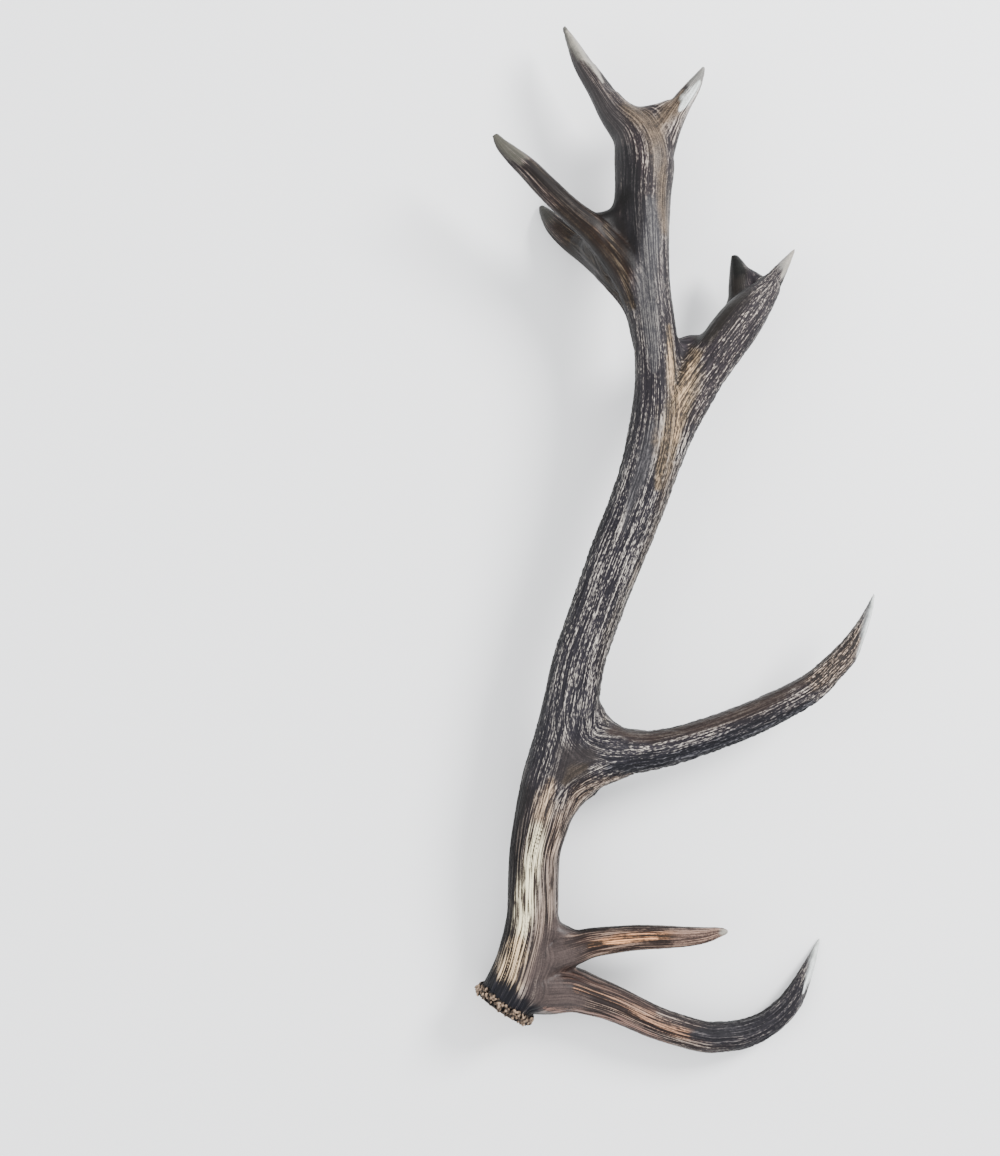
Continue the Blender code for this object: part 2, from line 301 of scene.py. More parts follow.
# The grain of the bone. As it grew, blood vessels lay along every limb: they left long ridges on the
# lower beam and rows of beads, the pearling, farther up. Each limb's grain runs along its own middle,
# and at the trez tine's fork it swings out of the beam from below and from above.
NOISE_SLOPES = np.random.default_rng(5).normal(size=(256, 3))
NOISE_SLOPES /= np.linalg.norm(NOISE_SLOPES, axis=1)[:, None]
# Large odd numbers that give each cell of the noise, and each seed, a slope of its own.
CELL_KEYS = (73856093, 19349663, 83492791)
SEED_KEY = 9176
SCRAMBLE = 668265263
NOISE_HEIGHT = 1.7


def normals_of(obj):
    """Which way the skin faces at each of the object's spots."""
    flat = np.empty(len(obj.data.vertices) * 3, np.float32)
    obj.data.vertex_normals.foreach_get("vector", flat)
    return flat.reshape(-1, 3).astype(float)


def noise(at, seed):
    """Smooth noise from about -1 to 1 at each row of at, one cell to a unit."""
    cell = np.floor(at)
    part = at - cell
    ease = part * part * (3 - 2 * part)
    numbers = cell.astype(np.int64) + seed * SEED_KEY
    keys = [(numbers + far) * CELL_KEYS for far in (0, 1)]
    total = np.zeros(len(at))
    for corner in itertools.product((0, 1), repeat=3):
        key = keys[corner[0]][:, 0] ^ keys[corner[1]][:, 1] ^ keys[corner[2]][:, 2]
        slope = NOISE_SLOPES[((key ^ (key >> 15)) * SCRAMBLE >> 9) % len(NOISE_SLOPES)]
        value = sum((part[:, axis] - corner[axis]) * slope[:, axis] for axis in range(3))
        for axis in range(3):
            value *= ease[:, axis] if corner[axis] else 1 - ease[:, axis]
        total += value
    return total * NOISE_HEIGHT


def rise(values, start, end):
    """0 up to start and 1 from end on, with a soft step between them."""
    t = np.clip((values - start) / (end - start), 0, 1)
    return t * t * (3 - 2 * t)


# How finely a limb's middle is followed, how fast its share of the skin fades off it, how far out its
# share is worked out, how far it goes past the limb's end, and how far apart two limbs' patterns lie.
COURSE_STEP = 3.0
SHARE_FADES = 5.0
SHARE_REACH = 25
END_REACH = 4
PATTERN_SHIFT = 400
# So many spots are measured at a time.
BATCH = 20000
SWINGS = {
    "swing_below": [
        (30, 150, 50, 27), (38, 183, 54, 28), (50, 207, 57, 28), (70, 225, 60, 27), (95, 236, 61, 25),
        (117, 242, 62, 22), (135, 243, 64, 19), (162, 249, 67, 17.5),
    ],
    "swing_above": [
        (66, 320, 69, 25), (62, 293, 66, 26), (62, 270, 64, 28), (72, 252, 62, 28), (92, 244, 61, 26),
        (117, 242, 62, 22), (135, 243, 64, 19), (162, 249, 67, 17.5),
    ],
}


class Limb:
    """The skin's spots near a limb: which they are, how far along it, its share of them, their grain."""

    def __init__(self, stations, fades_in, fades_out, seed):
        rows = course(stations, COURSE_STEP)
        middle = rows[:, :3]
        ahead = np.gradient(middle, axis=0)
        ahead /= np.linalg.norm(ahead, axis=1)[:, None]
        lengths = np.linalg.norm(np.diff(middle, axis=0), axis=1)
        run = np.concatenate([[0], np.cumsum(lengths)])
        side = Vector((0, 0, 1)).cross(Vector(ahead[0])).normalized()
        sides = [side]
        for last, following in zip(ahead, ahead[1:]):
            side = Vector(last).rotation_difference(Vector(following)) @ side
            sides.append(side)
        sides = np.array(sides)
        ups = np.cross(ahead, sides)

        reach = rows[:, 3].max() + SHARE_REACH
        near = np.all((spots > middle.min(0) - reach) & (spots < middle.max(0) + reach), axis=1)
        self.where = np.nonzero(near)[0]
        closest = np.empty(len(self.where), int)
        for low in range(0, len(self.where), BATCH):
            batch = spots[self.where[low:low + BATCH]]
            squares = (middle ** 2).sum(1) - 2 * batch @ middle.T
            closest[low:low + BATCH] = squares.argmin(1)
        offset = spots[self.where] - middle[closest]
        self.along = run[closest] + (offset * ahead[closest]).sum(1)
        across = (offset * sides[closest]).sum(1)
        above = (offset * ups[closest]).sum(1)
        distance = np.hypot(across, above)
        gap = np.maximum(distance - np.interp(self.along, run, rows[:, 3]), 0)
        gap += np.maximum(self.along - run[-1] - END_REACH, 0)
        self.share = np.exp(-gap / SHARE_FADES) * rise(self.along, *fades_in)
        if fades_out:
            self.share *= 1 - rise(self.along, *fades_out)
        usual = np.median(rows[:, 3]) / np.maximum(distance, 1)
        self.grain = np.stack([across * usual, above * usual, self.along + seed * PATTERN_SHIFT], axis=1)


# Each limb: its stations, where along it its own skin begins and, on a swing, where it ends, and how
# its skin changes, as rows of (distance, ridged, beaded, how much of it is pale, how warm it is).
SKINS = {
    "beam": (LIMBS["beam"], (-60, -50), None, [
        (0, 1, 0, 0.45, 0.5), (190, 1, 0.1, 0.42, 0.5), (250, 0.6, 0.8, 0.44, 0.1),
        (520, 0.5, 1, 0.44, 0.1), (600, 0.5, 0.6, 0.40, 0.2), (700, 0.15, 0.3, 0.38, 0.3),
        (900, 0.1, 0.1, 0.32, 0.5),
    ]),
    "brow": (LIMBS["brow"], (22, 44), None, [
        (0, 0.5, 0, 0.40, 0.8), (60, 0.9, 0, 0.42, 0.8), (180, 0.7, 0.3, 0.41, 0.6),
        (240, 0.4, 0.8, 0.36, 0.15), (330, 0, 0.2, 0.4, 0.2),
    ]),
    "bez": (LIMBS["bez"], (24, 48), None, [
        (0, 0.5, 0, 0.34, 0.9), (60, 0.9, 0.1, 0.34, 0.9), (190, 0.4, 0.2, 0.42, 0.9),
    ]),
    "trez": (LIMBS["trez"], (40, 75), None, [
        (0, 0.6, 0.4, 0.32, 0.1), (60, 0.4, 1, 0.36, 0.15), (250, 0.4, 1, 0.46, 0.3),
        (330, 0, 0.4, 0.6, 0.3),
    ]),
    "swing_below": (SWINGS["swing_below"], (10, 50), (105, 135), [
        (0, 1, 0.1, 0.45, 0.3), (60, 0.9, 0.3, 0.45, 0.2), (140, 0.4, 0.9, 0.38, 0.1),
    ]),
    "swing_above": (SWINGS["swing_above"], (10, 45), (95, 125), [
        (0, 0.6, 0.8, 0.36, 0.1), (60, 0.8, 0.5, 0.42, 0.1), (140, 0.4, 0.9, 0.38, 0.1),
    ]),
    "front_crown": (LIMBS["front_crown"], (50, 95), None, [
        (0, 0.6, 0.6, 0.36, 0.4), (120, 0.4, 1, 0.33, 0.35), (210, 0.1, 0.4, 0.40, 0.3),
    ]),
    "inner_point": (LIMBS["inner_point"], (20, 48), None, [
        (0, 0.4, 0, 0.3, 0.4), (130, 0.1, 0, 0.3, 0.3),
    ]),
    "rear_crown": (LIMBS["rear_crown"], (15, 55), None, [
        (0, 0.5, 0, 0.35, 0.7), (120, 0.4, 0.1, 0.25, 0.9), (200, 0.1, 0, 0.4, 0.5),
    ]),
    "lower_point": (LIMBS["lower_point"], (30, 60), None, [
        (0, 0.5, 0, 0.4, 0.9), (120, 0.4, 0.1, 0.3, 0.9), (190, 0.1, 0, 0.4, 0.5),
    ]),
    "top_front": (LIMBS["top_front"], (12, 32), None, [
        (0, 0.25, 0.2, 0.46, 0.5), (90, 0.1, 0, 0.48, 0.4),
    ]),
}
# Three sets of limbs, each kept as one layer of grain. Where limbs of one set meet, the limb with the
# larger share there gives the grain.
LAYERS = {
    "grain_beam": ["beam"],
    "grain_tines": ["brow", "trez", "front_crown", "rear_crown", "top_front"],
    "grain_points": ["bez", "swing_below", "swing_above", "inner_point", "lower_point"],
}
# The cells of the noise that draws each form, in millimetres, twice across the grain and along it.
WEAVE_CELL = (9, 9, 30)
RIDGE_CELL = (2.9, 2.9, 85)
BEAD_CELL = (1.7, 1.7, 4.6)
BEAD_ROW_CELL = (3.4, 3.4, 40)
STREAK_CELL = (5, 5, 60)
WEAVE = 0.9
FINE_RIDGES = 2.2
FINE_SHARE = 0.35
LEAST_SHARE = 0.003
count = len(bone.data.vertices)
spots = spots_of(bone)
normals = normals_of(bone)
ridges = np.zeros(count)
beads = np.zeros(count)
streaks = np.zeros(count)
skin_rows = np.zeros((count, 4))
# Just over 0, because the sums are divided by it.
total_share = np.full(count, 1e-9)
layers = {}
for seed, (layer, names) in enumerate(LAYERS.items()):
    grain = np.zeros((count, 3))
    share_here = np.zeros(count)
    strongest = np.zeros(count)
    for rank, name in enumerate(names):
        stations, fades_in, fades_out, rows = SKINS[name]
        limb = Limb(stations, fades_in, fades_out, seed * 7 + rank)
        best = limb.share > strongest[limb.where]
        grain[limb.where[best]] = limb.grain[best]
        strongest[limb.where] = np.maximum(strongest[limb.where], limb.share)
        share_here[limb.where] += limb.share
        table = np.array(rows, float)
        for column in range(4):
            value = np.interp(limb.along, table[:, 0], table[:, column + 1])
            skin_rows[limb.where, column] += limb.share * value
    used = np.nonzero(share_here > LEAST_SHARE)[0]
    at = grain[used] + WEAVE * noise(grain[used] / WEAVE_CELL, seed=50 + seed)[:, None]
    ridge = np.abs(noise(at / RIDGE_CELL, seed=60 + seed))
    ridge += FINE_SHARE * np.abs(noise(at / RIDGE_CELL * FINE_RIDGES, seed=70 + seed))
    ridges[used] += share_here[used] * rise(ridge, 0.02, 0.38)
    bead = noise(at / BEAD_CELL, seed=80 + seed)
    bead += FINE_SHARE * noise(at / BEAD_ROW_CELL, seed=90 + seed)
    beads[used] += share_here[used] * rise(bead, -0.2, 0.5)
    streaks[used] += share_here[used] * noise(at / STREAK_CELL, seed=100 + seed)
    total_share += share_here
    layers[layer] = (grain, share_here)
for values in (ridges, beads, streaks):
    values /= total_share
skin_rows /= total_share[:, None]
ridged, beaded, pale, warmth = skin_rows.T

# The colour zones. Handling, rubbing and dirt leave most zones with their own dark ground and
# their own paler crests, and a few zones are painted shade, as their names say. A colour is
# given as it shows on a screen, and SEEN says how bright each reflectance looks in this light.
SEEN = [
    (38, 0.0), (45, 0.002), (64, 0.011), (70, 0.016), (87, 0.027), (108, 0.045), (129, 0.068),
    (147, 0.098), (163, 0.139), (178, 0.198), (191, 0.274), (200, 0.362), (209, 0.48), (220, 0.66),
    (232, 0.88),
]
# A zone is drawn as seen from above, as lines of (right, up, half width) in millimetres. Its values
# are: how much of it is pale, its ground, its crests, and how smooth its skin is. A zone on a tine that
# crosses over another one also has the lowest and the highest height that it reaches.
ZONES = [
    ("band beside the strip", 0.30, (50, 46, 46), (150, 138, 129), 0.0, [
        [(14, 205, 6), (6, 150, 6), (4, 116, 6), (0, 69, 7), (-14, 36, 9)],
    ]),
    ("cream strip", 0.56, (114, 100, 89), (236, 227, 213), 0.0, [
        [(33, 186, 1), (32, 176, 4), (28, 157, 5), (21, 116, 6), (15, 81, 6), (10, 56, 3), (8, 44, 1)],
    ]),
    ("cream strip's upper end", 0.48, (96, 86, 80), (214, 203, 190), 0.1, [
        [(41, 215, 3), (36, 198, 6), (33, 184, 6)],
    ]),
    ("ridges by the burr", 0.51, (60, 53, 50), (226, 214, 199), 0.0, [
        [(10, 58, 6), (4, 40, 8), (-2, 26, 6)],
        [(18, 48, 4), (12, 30, 5), (6, 18, 4)],
    ]),
    ("ridges right of the strip", 0.47, (82, 72, 68), (184, 172, 163), 0.0, [
        [(43, 170, 5), (42, 130, 7), (37, 90, 7), (26, 50, 5), (16, 26, 4)],
    ]),
    ("pale swing into the trez tine", 0.47, (68, 61, 60), (206, 196, 185), 0.0, [
        [(44, 150, 4), (54, 180, 6), (68, 204, 6), (92, 214, 4), (115, 220, 3)],
    ]),
    ("skin between the low tines", 0.49, (86, 75, 73), (140, 124, 118), 0.95, [
        [(52, 84, 4), (48, 62, 10), (43, 42, 12), (34, 22, 13), (30, 4, 9)],
        [(52, 50, 12), (50, 24, 14), (48, 8, 13), (66, 4, 8)],
    ]),
    ("dark by the burr", 0.20, (46, 46, 51), (104, 97, 94), 0.2, [
        [(-18, 20, 5), (-5, 11, 7), (7, 4, 7)],
        [(7, 4, 5), (22, -5, 5)],
    ]),
    ("brow tine's pale lower edge", 0.50, (86, 74, 71), (188, 165, 153), 0.1, [
        [(36, -4, 1), (60, -10, 4), (107, -18, 4), (140, -34, 3), (165, -46, 1)],
    ]),
    ("brow tine's upper side", 0.34, (76, 61, 56), (150, 124, 110), 0.1, [
        [(58, 28, 4), (82, 22, 5), (110, 8, 4), (140, -6, 3)],
    ]),
    ("brow tine's streaks", 0.46, (78, 65, 60), (202, 180, 160), 0.0, [
        [(66, 16, 2), (84, 10, 2), (107, -1, 3), (135, -16, 3), (165, -29, 3), (195, -36, 2)],
    ]),
    ("brow tine's dark bend", 0.36, (58, 56, 61), (134, 130, 130), 0.1, [
        [(180, -32, 3), (208, -32, 9), (228, -26, 14), (248, -14, 14), (272, 12, 8)],
    ]),
    ("bez tine's streak", 0.42, (84, 68, 58), (212, 187, 162), 0.1, [
        [(80, 58, 2), (107, 65, 2), (130, 66, 2), (170, 68, 2)],
    ]),
    ("bez tine's ochre", 0.56, (132, 107, 90), (224, 198, 172), 0.0, [
        [(92, 60, 1), (108, 61, 1.5), (124, 63, 1.5), (142, 65, 1)],
    ]),
    ("bez tine's end", 0.52, (104, 86, 78), (194, 176, 164), 0.25, [
        [(168, 66, 7), (190, 69, 7), (212, 71, 7)],
    ]),
    ("brown fork of the trez tine", 0.40, (66, 62, 63), (116, 108, 105), 0.85, [
        [(52, 222, 6), (60, 238, 9), (76, 240, 6)],
    ]),
    ("golden patch at that fork", 0.42, (76, 69, 65), (148, 134, 122), 0.8, [
        [(54, 214, 3), (62, 224, 5), (72, 228, 3)],
    ]),
    ("trez tine's shaded lower side", 0.40, (54, 54, 60), (146, 144, 148), 0.0, [
        [(98, 230, 4), (112, 230, 5), (160, 238, 7), (204, 250, 7), (250, 268, 6), (285, 286, 5)],
    ]),
    ("trez tine's rubbed upper side", 0.44, (72, 64, 61), (128, 117, 108), 0.6, [
        [(100, 262, 4), (135, 258, 5), (187, 272, 6), (241, 293, 6), (280, 314, 5)],
    ]),
    ("trez tine's outer end", 0.43, (72, 67, 65), (208, 199, 190), 0.1, [
        [(290, 308, 5), (302, 318, 8), (322, 338, 7), (333, 354, 5)],
    ]),
    ("beam's pale right edge", 0.49, (66, 63, 65), (190, 184, 178), 0.1, [
        [(94, 270, 3), (88, 292, 5), (90, 324, 5), (98, 360, 4), (118, 400, 3)],
    ]),
    ("beam's upper right edge", 0.50, (68, 63, 63), (180, 171, 162), 0.1, [
        [(118, 400, 3), (140, 455, 4), (158, 510, 5)],
    ]),
    ("grey stripe under the crown", 0.46, (80, 78, 81), (148, 145, 146), 0.35, [
        [(137, 545, 5), (127, 512, 6), (116, 480, 3), (108, 450, 1)],
    ]),
    ("tan crown fork", 0.52, (84, 75, 67), (186, 172, 154), 0.25, [
        [(176, 618, 4), (168, 592, 8), (158, 560, 9), (148, 530, 7), (140, 490, 2)],
        [(150, 640, 2), (152, 605, 3), (155, 575, 4)],
    ]),
    ("bright streaks of that fork", 0.52, (116, 103, 91), (210, 197, 178), 0.1, [
        [(172, 606, 2), (165, 585, 3), (160, 560, 2), (155, 535, 1)],
        [(150, 625, 1), (152, 600, 2), (154, 575, 1)],
    ]),
    ("dark blade", 0.34, (62, 58, 55), (102, 97, 93), 0.8, [
        [(184, 632, 5), (199, 651, 8), (214, 674, 9), (219, 702, 6)],
    ]),
    ("rubbed grey flat", 0.50, (84, 82, 86), (158, 155, 152), 0.45, [
        [(134, 756, 5), (134, 725, 9), (131, 693, 8), (131, 665, 8), (135, 635, 5), (137, 600, 2)],
    ]),
    ("dark shaft", 0.40, (54, 52, 54), (118, 113, 111), 0.3, [
        [(110, 808, 5), (112, 790, 6), (116, 770, 7), (118, 740, 6), (117, 712, 4)],
    ]),
    # Painted shade where the crown's hollow lies in shadow.
    ("dark hollow", 0.10, (40, 36, 34), (80, 69, 63), 0.5, [
        [(106, 762, 6), (94, 748, 9), (103, 722, 8), (112, 700, 5)],
    ]),
    ("web in the crown", 0.36, (54, 45, 39), (112, 96, 80), 0.85, [
        [(108, 690, 5), (92, 712, 12), (70, 728, 12), (52, 745, 6)],
    ]),
    ("fan ridges", 0.50, (56, 47, 41), (134, 118, 100), 0.1, [
        [(117, 660, 2), (104, 700, 2), (92, 735, 2)],
        [(112, 665, 2), (86, 702, 2), (58, 733, 2)],
    ]),
    ("rear tine's brown side", 0.34, (48, 42, 40), (108, 97, 88), 0.4, [
        [(78, 742, 5), (50, 765, 6), (22, 790, 5)],
    ], 65, 200),
    ("top tine's dark skin", 0.46, (76, 71, 71), (126, 119, 117), 0.55, [
        [(64, 898, 4), (78, 872, 7), (94, 846, 10), (106, 822, 6)],
    ]),
    ("tan top fork", 0.54, (72, 66, 61), (174, 160, 144), 0.8, [
        [(112, 850, 4), (124, 840, 7), (138, 832, 7), (140, 806, 6)],
        [(140, 806, 5), (144, 765, 4), (148, 730, 3)],
        [(138, 832, 4), (152, 846, 6), (164, 860, 4)],
    ]),
    ("ochre edge of the lower point", 0.42, (50, 42, 37), (134, 116, 98), 0.3, [
        [(52, 752, 2), (66, 735, 4), (84, 714, 4), (100, 694, 3)],
    ], -10, 62),
    ("rear tip", 0.5, (98, 95, 86), (140, 138, 128), 0.8, [
        [(-18, 826, 11), (-4, 812, 10), (12, 798, 4)],
    ]),
    ("lower tip", 0.5, (60, 58, 52), (96, 95, 86), 0.9, [
        [(28, 774, 9), (38, 760, 7)],
    ], -10, 45),
    ("inner point's tip", 0.5, (38, 38, 36), (62, 61, 57), 0.9, [
        [(217, 718, 8), (221, 700, 4)],
    ]),
    ("top tine's tip", 0.5, (116, 114, 108), (162, 160, 152), 0.95, [
        [(52, 940, 11), (62, 920, 6), (70, 904, 3)],
    ]),
    ("front points' tips", 0.5, (146, 144, 140), (192, 190, 186), 0.95, [
        [(276, 724, 9), (264, 706, 5)],
        [(188, 892, 8), (178, 874, 5)],
    ]),
    ("low tips", 0.5, (122, 124, 125), (176, 178, 177), 0.95, [
        [(306, 58, 8), (301, 42, 4), (292, 22, 2)],
        [(350, 396, 8), (345, 376, 4), (336, 352, 2)],
    ]),
    ("cream facets", 0.6, (160, 157, 150), (196, 193, 186), 0.95, [
        [(58, 930, 1), (66, 918, 3), (80, 896, 3), (92, 878, 1)],
        [(262, 692, 1), (268, 704, 3), (275, 718, 2)],
        [(205, 70, 2), (212, 71, 3)],
    ]),
    ("ivory facets", 0.55, (198, 200, 197), (230, 235, 234), 0.9, [
        [(289, 4, 1), (296, 20, 3), (302, 38, 3), (305, 50, 2)],
        [(332, 325, 1), (341, 345, 3), (348, 372, 3), (351, 393, 2)],
        [(163, 847, 1), (169, 856, 3), (175, 864, 2.5), (181, 873, 1)],
    ]),
]


# The pale room lays a blue sheen over a warm colour, as far as its green is over its blue.
SHEEN, SHEEN_FROM = 0.4, 11


def mix(under, over, share):
    """The value under where share is 0, and over where it is 1."""
    if under.ndim > 1:
        share = share[:, None]
    return under + (np.array(over, float) - under) * share


def shade(colour):
    """The reflectance of a colour that is given as it shows, without the sheen."""
    red, green, blue = colour
    return np.interp((red, green, blue - SHEEN * max(green - blue - SHEEN_FROM, 0)), *zip(*SEEN))


# The skin between the zones: cool grounds and crests, and the warm ones of the lower limbs.
COOL_GROUND = (67, 66, 72)
WARM_GROUND = (76, 63, 56)
COOL_CREST = (209, 206, 202)
WARM_CREST = (178, 155, 139)
# A zone's edge wanders in patches and specks of these sizes and along the streaks, by at most 1.5 of
# its half width. In wider clouds, more or less of the skin is pale.
EDGE_PATCH, EDGE_SPECK, CLOUD_PATCH = 8, 3, 28
MOST_WANDER = 1.5
# A zone is whole up to 0.5 of its half width from its line and gone at 2.5. Past 4.5 none is drawn.
ZONE_WHOLE, ZONE_GONE, ZONE_REACH = 0.5, 2.5, 4.5
wander = 0.30 * noise(spots / EDGE_PATCH, seed=31) + 0.20 * noise(spots / EDGE_SPECK, seed=32)
wander = np.clip(wander + 0.8 * streaks, -MOST_WANDER, MOST_WANDER)
upper = rise(normals[:, 2], -0.5, 0.1)
pale = pale + 0.07 * noise(spots / CLOUD_PATCH, seed=33) + 0.10 * streaks
ground = mix(np.tile(shade(COOL_GROUND), (count, 1)), shade(WARM_GROUND), warmth)
crest = mix(np.tile(shade(COOL_CREST), (count, 1)), shade(WARM_CREST), warmth)
smooth = np.zeros(count)
polished = np.zeros(count)
for name, zone_pale, zone_ground, zone_crest, zone_smooth, lines, *heights in ZONES:
    inside = np.full(count, 2 * ZONE_REACH)
    for line in lines:
        rows = np.array(line, float)
        for start, end in zip(rows, rows[1:]):
            run = end[:2] - start[:2]
            widest = max(start[2], end[2]) * ZONE_REACH
            low = np.minimum(start[:2], end[:2]) - widest
            high = np.maximum(start[:2], end[:2]) + widest
            near = np.all((spots[:, :2] > low) & (spots[:, :2] < high), axis=1).nonzero()[0]
            t = np.clip((spots[near, :2] - start[:2]) @ run / (run @ run), 0, 1)
            away = np.linalg.norm(spots[near, :2] - start[:2] - t[:, None] * run, axis=1)
            inside[near] = np.minimum(inside[near], away / (start[2] + t * (end[2] - start[2])))
    share = rise(-(inside + wander), -ZONE_GONE, -ZONE_WHOLE)
    if name.endswith(("tip", "tips", "facets")):
        polished = np.maximum(polished, share)
    else:
        share *= upper
    if heights:
        share *= (spots[:, 2] > heights[0]) & (spots[:, 2] < heights[1])
    pale = mix(pale, zone_pale, share)
    ground = mix(ground, shade(zone_ground), share)
    crest = mix(crest, shade(zone_crest), share)
    smooth = mix(smooth, zone_smooth, share)

# Dirt stays on the sides, which nothing rubs, and painted shade lies over them as well: the steep
# sides are darkened and greyed, least on a polished tip and on the underside, and most of all on the
# side turned away from the window lamp, which is painted shade. Grounds are lifted to suit.
WINDOW_WAY = np.array((0.35, 0.1, 0.93))
GROUND_DARKENS, CREST_DARKENS = 0.45, 0.60
SIDE_GREYS = 0.4
LEFT_SIDE_SHADE = 0.08
GROUND_LIFT, SMOOTH_LOSS = 1.6, 0.3
flatness = np.abs(normals[:, 2])
dirt_and_side_shade = np.maximum(1 - rise(normals @ WINDOW_WAY, -0.05, 0.55), 1 - rise(flatness, 0.1, 0.5))
dirt_and_side_shade *= (1 - 0.7 * polished) * (1 - 0.6 * rise(-normals[:, 2], 0.2, 0.7))
ground *= (1 - GROUND_DARKENS * dirt_and_side_shade)[:, None]
crest *= (1 - CREST_DARKENS * dirt_and_side_shade)[:, None]
greyed = SIDE_GREYS * (1 - rise(flatness, 0.2, 0.8))
for colours in (ground, crest):
    colours += (colours.mean(axis=1, keepdims=True) - colours) * greyed[:, None]
# Painted shade: the side that faces left, away from the window lamp, has fewer pale crests.
pale -= LEFT_SIDE_SHADE * rise(-normals[:, 0], 0.2, 0.9)
ground *= (GROUND_LIFT - SMOOTH_LOSS * smooth)[:, None]

# The relief. Ridges and beads stand out of the skin, the grooves between them sink in, and both are
# worn down where the skin is smooth. Heights are in millimetres, and a middle is left where it was.
RIDGE_HEIGHT, RIDGE_MIDDLE = 1.1, 0.6
BEAD_HEIGHT, BEAD_MIDDLE = 0.8, 0.4
STREAK_HEIGHT = 0.4
WORN = 0.85
GRIT_HEIGHT, GRIT_CELL = 0.10, 2.2
pattern = (ridged * ridges + beaded * beads + 0.15) / (ridged + beaded + 0.3)
beadiness = (beaded + 0.05) / (ridged + beaded + 0.1)
lift = RIDGE_HEIGHT * ridged * (ridges - RIDGE_MIDDLE) + BEAD_HEIGHT * beaded * (beads - BEAD_MIDDLE)
lift = (lift + STREAK_HEIGHT * streaks) * (1 - WORN * smooth)
lift += GRIT_HEIGHT * noise(spots / GRIT_CELL, seed=41)

# The facets rubbed on the tips: (place, radius there, heading, slope, depth cut). Each fades out from
# 2.2 to 3.2 radii away, and its edge stays a little rounded.
FACET_WHOLE, FACET_GONE = 2.2, 3.2
FACET_CUT = 0.9
FACETS = [
    ((284, 8, 12), 9.5, -15, 35, 2.2),
    ((292, 24, 8), 7, -12, 35, 1.8),
    ((332, 352, 64), 8, -20, 30, 2.0),
    ((341, 370, 62), 5, -15, 30, 1.2),
    ((170, 860, 71), 9, -35, 40, 1.8),
    ((80, 884, 53), 10.5, 40, 35, 1.8),
    ((66, 909, 47), 7.5, 40, 35, 1.5),
    ((260, 699, 60), 6.5, -25, 40, 1.3),
]
moved = spots + normals * lift[:, None]
for middle, radius, heading, slope, depth in FACETS:
    heading, slope = math.radians(heading), math.radians(slope)
    out = np.array([
        math.cos(heading) * math.cos(slope), math.sin(heading) * math.cos(slope), math.sin(slope)
    ])
    beyond = (moved - middle) @ out - (radius - depth)
    away = np.linalg.norm(moved - middle, axis=1)
    within = rise(-away, -FACET_GONE * radius, -FACET_WHOLE * radius)
    moved -= out * (FACET_CUT * np.maximum(beyond, 0) * within)[:, None]

# The shallow hollow in the top of the crown, between the beam and the rear points.
HOLLOW_PLACE = (100, 728)
HOLLOW_RADIUS = 17
HOLLOW_DEPTH = 5
hollow = np.exp(-((spots[:, :2] - HOLLOW_PLACE) ** 2).sum(1) / HOLLOW_RADIUS ** 2)
moved[:, 2] -= HOLLOW_DEPTH * hollow * rise(normals[:, 2], 0, 0.5)
moved[:, 2] = np.maximum(moved[:, 2], 0)
bone.data.vertices.foreach_set("co", (moved * MM + np.array(BURR_PLACE)).astype(np.float32).ravel())
bone.data.update()


def keep(mesh, name, values):
    """Stores one value, or one row of three, for each spot of the mesh."""
    kind, field = ("FLOAT", "value") if values.ndim == 1 else ("FLOAT_VECTOR", "vector")
    layer = mesh.attributes.new(name, kind, "POINT")
    layer.data.foreach_set(field, values.astype(np.float32).ravel())


for name, (grain, share_here) in layers.items():
    keep(bone.data, name, grain * MM)
    if name != "grain_beam":
        keep(bone.data, "share_" + name, share_here / total_share)
for name, values in {
    "pattern": pattern, "beadiness": beadiness, "pale": pale, "ground": ground, "crest": crest,
    "smooth": smooth,
}.items():
    keep(bone.data, name, values)
keep(bone.data, "skin_normal", normals_of(bone))

# The bone's finish: dark stain lies in every groove, the crests are rubbed pale, and the tips are
# polished by use. Finer streaks and beads than the skin's own shape follow the same grain.
# Each fine pattern: its cells to a metre across the grain and along it, and its detail.
LINES = (900.0, 20.0, 3.0)
DASHES = (1150.0, 290.0, 1.0)
GRIT_SCALE, CLOUD_SCALE = 900.0, 70.0
GROOVE_TINT = (0.33, 0.33, 0.36)
CLOUD_TINT = (0.72, 0.70, 0.72)
CLOUD_SHARE = 0.35
BUMP_STRENGTH, BUMP_HEIGHT = 0.5, 0.0009
BONE_GLOSS = 0.16


